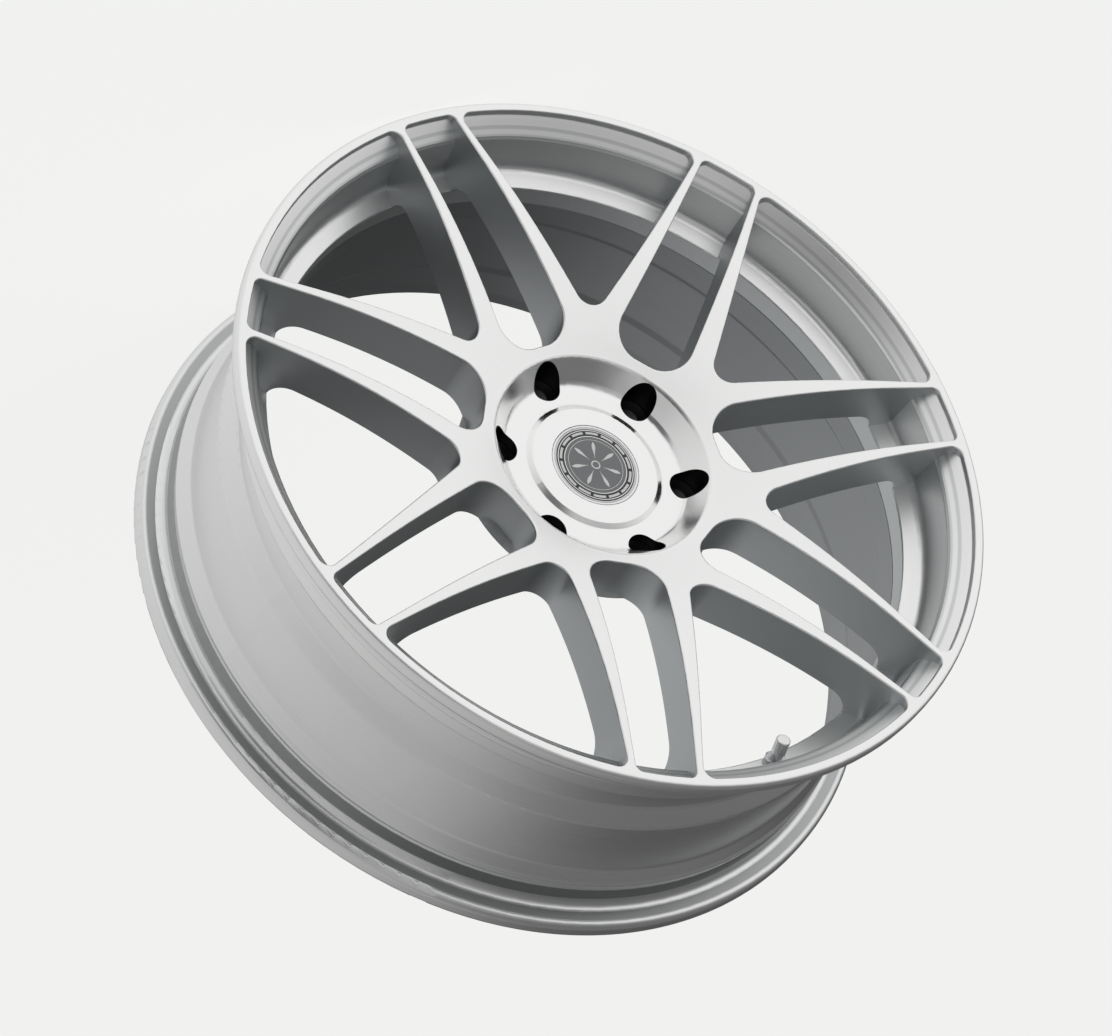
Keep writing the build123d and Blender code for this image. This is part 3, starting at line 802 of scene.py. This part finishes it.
def even_normals(node: bpy.types.Object) -> None:
    """Weights a node's shading by face area, so that thin triangles don't show.

    Args:
        node: The object.
    """
    modifier = node.modifiers.new("even_normals", "WEIGHTED_NORMAL")
    modifier.keep_sharp = True
    modifier.weight = 50


# --- Studio -----------------------------------------------------------------------------------


@dataclass(frozen=True)
class Viewpoint:
    """The camera: where it looks from, in degrees and metres."""

    azimuth: float = 37.9388
    elevation: float = 18.5643
    roll: float = -148.7146
    distance: float = 3.37077
    aim: tuple[float, float, float] = (0.00289, 0.00282, 0.00133)
    lens: float = 159.206
    sensor: float = 36.0

    def make(self) -> bpy.types.Object:
        """Makes the scene's camera.

        Returns:
            The camera object.
        """
        a, e, roll = (math.radians(v) for v in (self.azimuth, self.elevation, self.roll))
        forward = Vector((-math.sin(a) * math.cos(e), math.cos(a) * math.cos(e), -math.sin(e)))
        level_right = forward.cross(Vector((0, 0, 1))).normalized()
        level_up = level_right.cross(forward)
        up = math.cos(roll) * level_up + math.sin(roll) * level_right
        right = math.cos(roll) * level_right - math.sin(roll) * level_up
        data = bpy.data.cameras.new("camera")
        data.lens = self.lens
        data.sensor_width = self.sensor
        data.clip_end = 200.0
        camera = bpy.data.objects.new("camera", data)
        bpy.context.scene.collection.objects.link(camera)
        turn = Matrix((right, up, -forward)).transposed().to_4x4()
        camera.matrix_world = Matrix.Translation(Vector(self.aim) - forward * self.distance) @ turn
        bpy.context.scene.camera = camera
        return camera


@dataclass(frozen=True)
class Lobe:
    """A soft-edged patch of the surround with its own brightness."""

    aim: tuple[float, float, float]
    edge: float
    core: float
    level: float


@dataclass(frozen=True)
class Studio:
    """A pale floor and one large soft surround with a bright front and dark flags."""

    backdrop: Colour = (0.896, 0.905, 0.888)
    level: float = 0.62
    pull: tuple[float, float, float] = (0.0, 0.0, -0.24)
    lobes: tuple[Lobe, ...] = (
        Lobe((-0.60, 0.70, 0.35), 0.35, 0.95, 0.09),  # behind, dark
        Lobe((-0.20, -0.10, 0.97), 0.50, 0.95, 0.17),  # the ground side, dark
        Lobe((-0.58, -0.75, -0.32), 0.45, 0.82, 0.98),  # the key light in front
        Lobe((0.55, -0.83, 0.04), 0.90, 0.98, 0.12),  # a small flag by the hub
    )
    floor_radius: float = 60.0
    floor_glow: float = 0.94
    floor_albedo: float = 0.12

    def make(self, floor_height: float) -> None:
        """Builds the surround and the floor.

        Args:
            floor_height: Where the floor lies, in metres.
        """
        self.surround()
        self.floor(floor_height)

    def surround(self) -> None:
        """The soft light from all sides: an even fall, then each lobe over it."""
        world = bpy.data.worlds.new("studio")
        world.use_nodes = True
        tree = world.node_tree
        sky = tree.nodes["Background"]
        where = tree.nodes.new("ShaderNodeTexCoord").outputs["Generated"]
        glow = self.math(tree, "ADD", self.towards(tree, where, self.pull), self.level)
        for lobe in self.lobes:
            agreement = self.towards(tree, where, Vector(lobe.aim).normalized())
            share = self.step(tree, agreement, lobe.edge, lobe.core)
            change = self.math(tree, "SUBTRACT", lobe.level, glow)
            glow = self.math(tree, "ADD", glow, self.math(tree, "MULTIPLY", share, change))
        tree.links.new(glow, sky.inputs["Strength"])
        sky.inputs["Color"].default_value = (1.0, 1.0, 0.995, 1)
        seen = tree.nodes.new("ShaderNodeBackground")
        seen.inputs["Color"].default_value = (*self.backdrop, 1)
        path = tree.nodes.new("ShaderNodeLightPath")
        choose = tree.nodes.new("ShaderNodeMixShader")
        tree.links.new(path.outputs["Is Camera Ray"], choose.inputs[0])
        tree.links.new(sky.outputs[0], choose.inputs[1])
        tree.links.new(seen.outputs[0], choose.inputs[2])
        tree.links.new(choose.outputs[0], tree.nodes["World Output"].inputs["Surface"])
        bpy.context.scene.world = world

    @staticmethod
    def towards(tree: bpy.types.NodeTree, direction: Socket, aim: Sequence[float]) -> Socket:
        """The dot product of a direction and an aim."""
        made = tree.nodes.new("ShaderNodeVectorMath")
        made.operation = "DOT_PRODUCT"
        made.inputs[1].default_value = aim
        tree.links.new(direction, made.inputs[0])
        return made.outputs["Value"]

    @staticmethod
    def math(tree: bpy.types.NodeTree, operation: str, first: Any, second: Any) -> Socket:
        """One math node's result in the surround's tree."""
        made = tree.nodes.new("ShaderNodeMath")
        made.operation = operation
        for socket, value in zip(made.inputs, (first, second)):
            if isinstance(value, Socket):
                tree.links.new(value, socket)
            else:
                socket.default_value = value
        return made.outputs[0]

    @staticmethod
    def step(tree: bpy.types.NodeTree, value: Socket, low: float, high: float) -> Socket:
        """A smooth step of a value in the surround's tree."""
        made = tree.nodes.new("ShaderNodeMapRange")
        made.interpolation_type = "SMOOTHSTEP"
        tree.links.new(value, made.inputs["Value"])
        made.inputs["From Min"].default_value = low
        made.inputs["From Max"].default_value = high
        return made.outputs[0]

    def floor(self, height: float) -> None:
        """A wide pale floor that hardly takes a shadow.

        Args:
            height: Where it lies, in metres.
        """
        mesh = bpy.data.meshes.new("floor")
        shape = bmesh.new()
        bmesh.ops.create_circle(shape, cap_ends=True, segments=96, radius=self.floor_radius)
        shape.to_mesh(mesh)
        shape.free()
        floor = bpy.data.objects.new("floor", mesh)
        floor.location.z = height
        bpy.context.scene.collection.objects.link(floor)
        finish = Finish("pale_floor", (self.floor_albedo,) * 3, 0.0, 1.0)
        finish.set("Specular IOR Level", 0.0)
        finish.set("Emission Color", (*self.backdrop, 1))
        finish.set("Emission Strength", self.floor_glow)
        mesh.materials.append(finish.material)
        floor.visible_glossy = False
        floor.visible_diffuse = False


def dress_nodes(nodes: dict[str, bpy.types.Object]) -> dict[str, bpy.types.Material]:
    """Gives every CAD node its finish.

    Args:
        nodes: The frame's nodes by name.

    Returns:
        The finishes that fine pieces share, by name.
    """
    alloy = SatinAlloy().make()
    barrel = TurnedAlloy().make()
    steel = Plain("steel", (0.56, 0.57, 0.58), 1.0, 0.3).make()
    dark_steel = Plain("black_steel", (0.035, 0.035, 0.036), 0.6, 0.45).make()
    brass = Plain("brass", (0.75, 0.58, 0.32), 1.0, 0.3).make()
    rubber = Plain("rubber", (0.018, 0.018, 0.019), 0.0, 0.6).make()
    silver = Plain("cap_silver", (0.80, 0.805, 0.80), 1.0, 0.32).make()
    enamel = Plain("dark_enamel", (0.03, 0.032, 0.035), 0.0, 0.35).make()
    foam = Plain("foam", (0.1, 0.1, 0.1), 0.0, 0.9).make()
    worn_by = {
        alloy: ("forged_centre",),
        barrel: ("rim_barrel", "barrel_weld"),
        dark_steel: ("lug_seats",),
        silver: ("cap_shell", "valve_cap"),
        enamel: ("cap_emblem",),
        foam: ("cap_emblem_pad",),
        steel: ("cap_bezel", "cap_spring_ring", "valve_stem", "valve_washer", "valve_nut", "valve_core_spring"),
        brass: ("valve_core_body", "valve_core_pin"),
        rubber: ("cap_seal_ring", "valve_grommet", "valve_cap_seal", "valve_core_gasket", "valve_core_cup"),
    }
    for material, names in worn_by.items():
        for name in names:
            dress(nodes[name], material)
    for name in ("rim_barrel", "forged_centre"):
        even_normals(nodes[name])
    return {"steel": steel, "silver": silver}


def add_fine_pieces(frame: dict[str, Any], finishes: dict[str, bpy.types.Material]) -> None:
    """Adds the emblem, the knurl and the stem's thread.

    Args:
        frame: The loaded frame.
        finishes: The shared finishes, by name.
    """
    white = Plain("white_print", (0.78, 0.78, 0.77), 0.0, 0.35, spread=0.03).make()
    CapEmblem().build(white, finishes["silver"], BrushedDisc().make())
    BeadKnurl().build(Plain("knurled_alloy", (0.36, 0.37, 0.375), 1.0, 0.35).make())
    joints = {joint["name"]: joint for joint in frame["joints"]}
    axis = Vector(joints["dust_cap_rise"]["axis"]).normalized()
    foot = Vector(joints["dust_cap_turn"]["pos_m"]) - axis * STEM_REFERENCE
    StemThread().build(foot, axis, finishes["steel"])


def main() -> None:
    """Loads the frame, dresses it, adds the fine pieces and lights the studio."""
    logging.basicConfig(level=logging.INFO, format="%(name)s: %(message)s")
    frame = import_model()
    bpy.context.scene.view_settings.view_transform = "Standard"
    add_fine_pieces(frame, dress_nodes(frame["nodes"]))
    low = min(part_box(name)[0].z for name in ("forged_centre", "rim_barrel"))
    Studio().make(low)
    Viewpoint().make()


if __name__ == "__main__":
    main()
